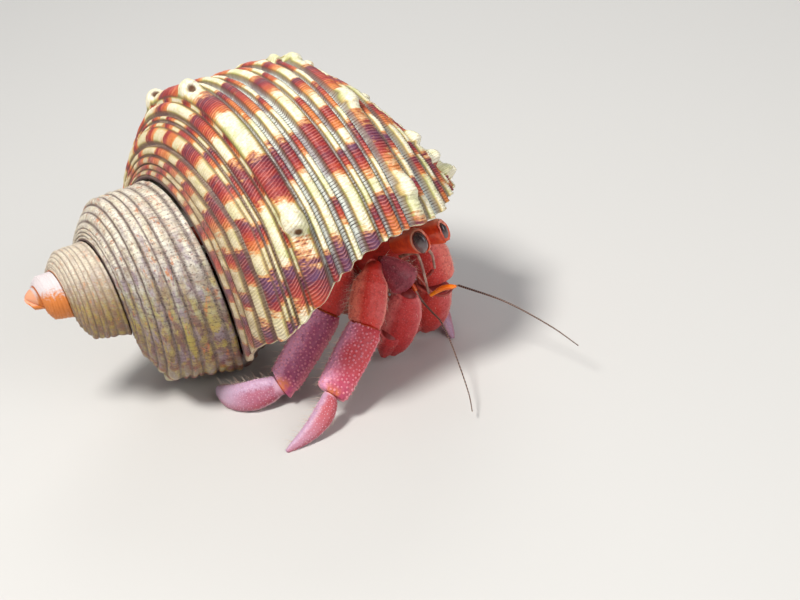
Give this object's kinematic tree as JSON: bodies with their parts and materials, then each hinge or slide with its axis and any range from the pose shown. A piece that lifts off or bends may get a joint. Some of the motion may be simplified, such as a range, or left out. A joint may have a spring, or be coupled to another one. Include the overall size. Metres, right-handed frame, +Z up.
{
  "type": "hermit crab in a turban shell",
  "caption": "Land hermit crab walking in a ridged turban shell, a still life-size display model that stands on its toes and the underside of its shell.",
  "frame": {"origin": "centre of the bounding box's bottom face, on the floor that the toes and the shell rest on", "axes": "+Z up, the crab faces -Y, +X towards its left side"},
  "size_m": [0.0578, 0.0676, 0.0409],
  "materials": {
    "shell": "satin",
    "red_armour": "satin",
    "pink_armour": "satin",
    "orange_armour": "satin",
    "amber_armour": "satin",
    "brown_feeler": "matte",
    "flesh": "satin",
    "cornea": "gloss"
  },
  "bodies": {
    "root": {"abdomen": "flesh", "carapace": "red_armour", "left_antenna_stem": "orange_armour", "left_antenna_whip": "brown_feeler", "left_antennule_stem": "amber_armour", "left_antennule_tip": "orange_armour", "left_claw_carpus": "red_armour", "left_claw_finger": "red_armour", "left_claw_merus": "red_armour", "left_claw_palm": "red_armour", "left_eye": "cornea", "left_eyestalk": "orange_armour", "left_leg_2_carpus": "red_armour", "left_leg_2_dactyl": "pink_armour", "left_leg_2_merus": "red_armour", "left_leg_2_propodus": "pink_armour", "left_leg_3_carpus": "red_armour", "left_leg_3_dactyl": "pink_armour", "left_leg_3_merus": "red_armour", "left_leg_3_propodus": "pink_armour", "left_mouth_leg": "orange_armour", "right_antenna_stem": "orange_armour", "right_antenna_whip": "brown_feeler", "right_antennule_stem": "amber_armour", "right_antennule_tip": "orange_armour", "right_claw_carpus": "red_armour", "right_claw_finger": "red_armour", "right_claw_merus": "red_armour", "right_claw_palm": "red_armour", "right_eye": "cornea", "right_eyestalk": "orange_armour", "right_leg_2_carpus": "red_armour", "right_leg_2_dactyl": "pink_armour", "right_leg_2_merus": "red_armour", "right_leg_2_propodus": "pink_armour", "right_leg_3_carpus": "red_armour", "right_leg_3_dactyl": "pink_armour", "right_leg_3_merus": "red_armour", "right_leg_3_propodus": "pink_armour", "right_mouth_leg": "orange_armour", "shell": "shell", "thorax": "flesh"}
  },
  "joints": []
}
